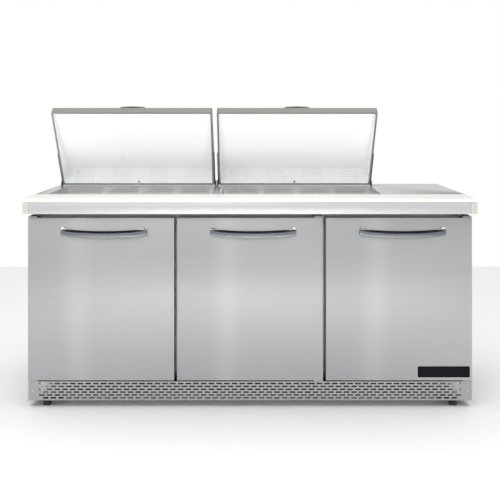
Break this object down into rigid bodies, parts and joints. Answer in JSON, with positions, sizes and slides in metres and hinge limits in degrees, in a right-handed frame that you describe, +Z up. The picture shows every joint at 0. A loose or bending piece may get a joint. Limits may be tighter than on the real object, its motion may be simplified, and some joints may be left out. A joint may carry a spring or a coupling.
{
  "type": "sandwich prep table",
  "caption": "Refrigerated stainless prep table with hinged doors below, a full-width cutting board, and open hinged hoods over food pan wells.",
  "frame": {"origin": "on the floor, under the middle of the table's footprint", "axes": "+X to the right seen from the front, +Y towards the back, +Z up"},
  "size_m": [1.829, 0.762, 1.2365],
  "materials": {
    "stainless_top": "fine brushed along the length",
    "stainless_door": "brushed, satin",
    "stainless_bright": "bright satin",
    "cream_plastic": "smooth, matt",
    "white_board": "lightly textured polyethylene",
    "chrome": "polished",
    "dark_steel": "satin",
    "black_rubber": "matt",
    "gasket_rubber": "matt",
    "black_plate": "satin, blank",
    "foam": "cut foam",
    "liner_aluminium": "stucco rolled",
    "coated_wire": "epoxy coated wire",
    "fin_aluminium": "plain",
    "black_plastic": "moulded",
    "copper": "drawn copper tube",
    "compressor_black": "semi-gloss paint"
  },
  "bodies": {
    "cabinet": {"worktop": "stainless_top", "apron_end_caps": "cream_plastic", "well_liners": "stainless_top", "pan_bars": "stainless_top", "lid_hinge_brackets": "dark_steel", "side_panels": "stainless_door", "back_panel": "stainless_door", "wall_foam": "foam", "interior_liner": "liner_aluminium", "ceiling_panel": "liner_aluminium", "front_frame": "stainless_door", "base_frame": "dark_steel", "front_grille": "stainless_door", "grille_screws": "chrome", "levelling_feet": "black_rubber", "shelf_strips": "stainless_door", "evaporator_coil": "fin_aluminium", "evaporator_housing": "liner_aluminium", "fan_motors": "compressor_black", "machine_housing": "liner_aluminium", "rear_service_grille": "stainless_door", "compressor": "compressor_black", "condenser_coil": "fin_aluminium", "drain_pan": "black_plastic", "refrigerant_lines": "copper", "control_box": "black_plastic", "power_inlet": "black_plastic", "door_hinge_brackets": "stainless_door"},
    "cutting_board": {"cutting_board": "white_board"},
    "food_pans_left": {"food_pans_left": "stainless_bright"},
    "food_pans_right": {"food_pans_right": "stainless_bright"},
    "lid_left": {"lid_left_shell": "stainless_door", "lid_left_liner": "stainless_bright", "lid_left_grip": "stainless_door", "lid_left_hinge_arms": "dark_steel"},
    "lid_right": {"lid_right_shell": "stainless_door", "lid_right_liner": "stainless_bright", "lid_right_grip": "stainless_door", "lid_right_hinge_arms": "dark_steel"},
    "door_1": {"door_1_skin": "stainless_door", "door_1_foam": "foam", "door_1_liner": "liner_aluminium", "door_1_gasket": "gasket_rubber", "door_1_handle": "chrome"},
    "door_2": {"door_2_skin": "stainless_door", "door_2_foam": "foam", "door_2_liner": "liner_aluminium", "door_2_gasket": "gasket_rubber", "door_2_handle": "chrome"},
    "door_3": {"door_3_skin": "stainless_door", "door_3_foam": "foam", "door_3_liner": "liner_aluminium", "door_3_gasket": "gasket_rubber", "door_3_handle": "chrome", "name_plate": "black_plate"},
    "shelf_left": {"shelf_left": "coated_wire"},
    "shelf_middle": {"shelf_middle": "coated_wire"},
    "shelf_right": {"shelf_right": "coated_wire"},
    "condenser_fan": {"condenser_fan": "black_plastic"},
    "evaporator_fan": {"evaporator_fan": "black_plastic"}
  },
  "joints": [
    {"name": "cutting_board_lift", "type": "slide", "parent": "cabinet", "child": "cutting_board", "axis": [0, 0, 1], "range_m": [0, 0.06]},
    {"name": "food_pans_left_lift", "type": "slide", "parent": "cabinet", "child": "food_pans_left", "axis": [0, 0, 1], "range_m": [0, 0.14]},
    {"name": "food_pans_right_lift", "type": "slide", "parent": "cabinet", "child": "food_pans_right", "axis": [0, 0, 1], "range_m": [0, 0.14]},
    {"name": "lid_left_hinge", "type": "hinge", "parent": "cabinet", "child": "lid_left", "pos_m": [-0.526, 0.249, 0.874], "axis": [-1, 0, 0], "range_deg": [-53.5, 0]},
    {"name": "lid_right_hinge", "type": "hinge", "parent": "cabinet", "child": "lid_right", "pos_m": [0.21, 0.249, 0.874], "axis": [-1, 0, 0], "range_deg": [-53.5, 0]},
    {"name": "door_1_hinge", "type": "hinge", "parent": "cabinet", "child": "door_1", "pos_m": [-0.897, -0.303, 0.4435], "axis": [0, 0, -1], "range_deg": [0, 105], "stiffness_Nm_per_rad": 1.5},
    {"name": "door_2_hinge", "type": "hinge", "parent": "cabinet", "child": "door_2", "pos_m": [0.28767, -0.303, 0.4435], "axis": [0, 0, 1], "range_deg": [0, 105], "stiffness_Nm_per_rad": 1.5},
    {"name": "door_3_hinge", "type": "hinge", "parent": "cabinet", "child": "door_3", "pos_m": [0.897, -0.303, 0.4435], "axis": [0, 0, 1], "range_deg": [0, 105], "stiffness_Nm_per_rad": 1.5},
    {"name": "shelf_left_lift", "type": "slide", "parent": "cabinet", "child": "shelf_left", "axis": [0, 0, 1], "range_m": [0, 0.02]},
    {"name": "shelf_middle_lift", "type": "slide", "parent": "cabinet", "child": "shelf_middle", "axis": [0, 0, 1], "range_m": [0, 0.02]},
    {"name": "shelf_right_lift", "type": "slide", "parent": "cabinet", "child": "shelf_right", "axis": [0, 0, 1], "range_m": [0, 0.02]},
    {"name": "condenser_fan_spin", "type": "hinge", "parent": "cabinet", "child": "condenser_fan", "pos_m": [0.478, 0.19, 0.2195], "axis": [0, 1, 0], "continuous": true},
    {"name": "evaporator_fan_spin", "type": "hinge", "parent": "cabinet", "child": "evaporator_fan", "pos_m": [0, 0.2132, 0.6], "axis": [0, 1, 0], "continuous": true}
  ]
}
